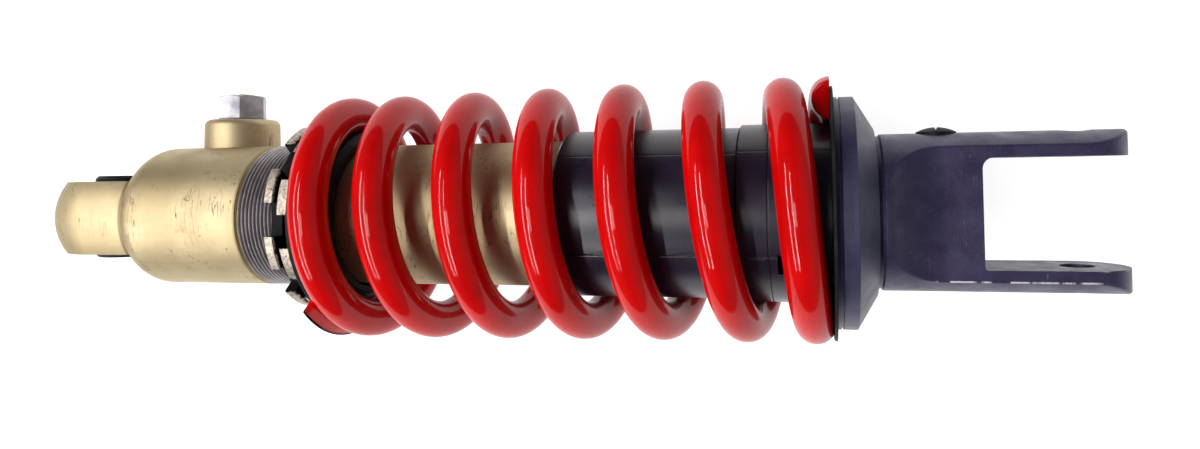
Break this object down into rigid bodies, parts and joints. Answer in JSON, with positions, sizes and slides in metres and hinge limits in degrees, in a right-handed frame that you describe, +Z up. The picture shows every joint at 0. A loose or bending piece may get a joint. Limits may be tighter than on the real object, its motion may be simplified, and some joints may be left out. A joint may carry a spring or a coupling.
{
  "type": "rear shock absorber",
  "caption": "Motorcycle rear shock absorber: coil spring over a gas damper, round eye with spherical bearing, adjuster boss, castellated preload rings, forked clevis.",
  "frame": {"origin": "centre of the upper eye's bolt bore", "axes": "+X along the damper towards the clevis, +Y along the bolt axes on the side of the adjuster boss, +Z up, at right angles to both"},
  "size_m": [0.3841, 0.0909, 0.087],
  "materials": {
    "champagne_anodised": "satin champagne anodised, lightly scratched",
    "bright_steel": "machined",
    "black_steel": "black oxide",
    "rubber_black": "matte",
    "brass": "machined",
    "black_plastic": "moulded",
    "machined_aluminium": "machined",
    "end_cap_black": "black anodised",
    "bronze_bush": "sintered",
    "band": "bronze filled ptfe",
    "ring_steel": "dark paint worn to bright metal at the teeth",
    "seat_black": "satin black",
    "hard_chrome": "polished",
    "steel": "ground",
    "piston_sintered": "sintered",
    "bumper_rubber": "matte",
    "bump_foam": "microcellular urethane",
    "seat_charcoal": "satin charcoal",
    "guide_plastic": "semi gloss",
    "clevis_dark": "dark anodised, worn edges",
    "spring_red": "gloss powder coat"
  },
  "bodies": {
    "damper": {"damper_body": "champagne_anodised", "damper_tube": "champagne_anodised", "eye_bearing_race": "bright_steel", "eye_seals": "rubber_black", "eye_circlips": "black_steel", "gas_valve": "brass", "gas_valve_cap": "black_plastic", "divider": "machined_aluminium", "compression_valve_cap": "bright_steel", "valve_cap_o_ring": "rubber_black", "seal_head": "machined_aluminium", "seal_head_o_ring": "rubber_black", "rod_bush": "bronze_bush", "oil_seal": "rubber_black", "stopper_ring": "black_steel", "end_cap": "end_cap_black", "dust_seal": "rubber_black"},
    "eye_ball": {"eye_ball": "bright_steel"},
    "eye_collars": {"eye_collar_upper": "black_steel", "eye_collar_lower": "black_steel"},
    "gas_piston": {"gas_piston": "machined_aluminium", "gas_piston_o_ring": "rubber_black", "gas_piston_band": "band"},
    "compression_adjuster": {"compression_adjuster": "brass"},
    "compression_needle": {"compression_needle": "machined_aluminium"},
    "lock_ring": {"lock_ring": "ring_steel"},
    "upper_seat": {"upper_spring_seat": "seat_black"},
    "preload_ring": {"preload_ring": "ring_steel"},
    "rod": {"damper_rod": "hard_chrome", "piston": "piston_sintered", "piston_band": "band", "piston_nut": "steel", "compression_shims": "steel", "rebound_shims": "steel", "shim_plate": "steel", "top_out_bumper": "bumper_rubber", "bump_stop": "bump_foam", "bump_stop_cup": "steel", "spring_washer": "seat_black", "lower_spring_seat": "seat_charcoal", "guide_tube": "guide_plastic", "clevis": "clevis_dark", "coil_spring": "spring_red"},
    "rebound_adjuster": {"rebound_adjuster": "black_steel"},
    "rebound_push_rod": {"rebound_push_rod": "steel"}
  },
  "joints": [
    {"name": "rod_slide", "type": "slide", "parent": "damper", "child": "rod", "axis": [-1, 0, 0], "range_m": [0, 0.052], "stiffness_N_per_m": 84000, "deforming": ["coil_spring"]},
    {"name": "gas_piston_slide", "type": "slide", "parent": "damper", "child": "gas_piston", "axis": [-1, 0, 0], "range_m": [0, 0.006]},
    {"name": "eye_tilt", "type": "hinge", "parent": "damper", "child": "eye_ball", "pos_m": [0, 0, 0], "axis": [1, 0, 0], "range_deg": [-4, 4]},
    {"name": "eye_turn", "type": "hinge", "parent": "eye_ball", "child": "eye_collars", "pos_m": [0, 0, 0], "axis": [0, 1, 0], "continuous": true},
    {"name": "preload_slide", "type": "slide", "parent": "damper", "child": "upper_seat", "axis": [1, 0, 0], "range_m": [0, 0.006], "deforming": ["coil_spring"]},
    {"name": "preload_ring_turn", "type": "hinge", "parent": "upper_seat", "child": "preload_ring", "pos_m": [0.092, 0, 0], "axis": [1, 0, 0], "range_deg": [0, 1440]},
    {"name": "lock_ring_turn", "type": "hinge", "parent": "damper", "child": "lock_ring", "pos_m": [0.0863, 0, 0], "axis": [1, 0, 0], "range_deg": [-90, 0]},
    {"name": "compression_adjuster_turn", "type": "hinge", "parent": "damper", "child": "compression_adjuster", "pos_m": [0.04355, 0.044, -0.009], "axis": [0, 1, 0], "range_deg": [-720, 0]},
    {"name": "compression_needle_slide", "type": "slide", "parent": "damper", "child": "compression_needle", "axis": [0, -1, 0], "range_m": [0, 0.002]},
    {"name": "rebound_adjuster_turn", "type": "hinge", "parent": "rod", "child": "rebound_adjuster", "pos_m": [0.3041, 0.025, 0], "axis": [0, 1, 0], "range_deg": [-720, 0]},
    {"name": "rebound_push_rod_slide", "type": "slide", "parent": "rod", "child": "rebound_push_rod", "axis": [-1, 0, 0], "range_m": [0, 0.001]}
  ],
  "couplings": [
    {"joint": "gas_piston_slide", "follows": "rod_slide", "ratio": 0.09263},
    {"joint": "preload_ring_turn", "follows": "preload_slide", "rad_per_m": 4188.8},
    {"joint": "compression_adjuster_turn", "follows": "compression_needle_slide", "rad_per_m": -6283.2},
    {"joint": "rebound_adjuster_turn", "follows": "rebound_push_rod_slide", "rad_per_m": -12566}
  ]
}
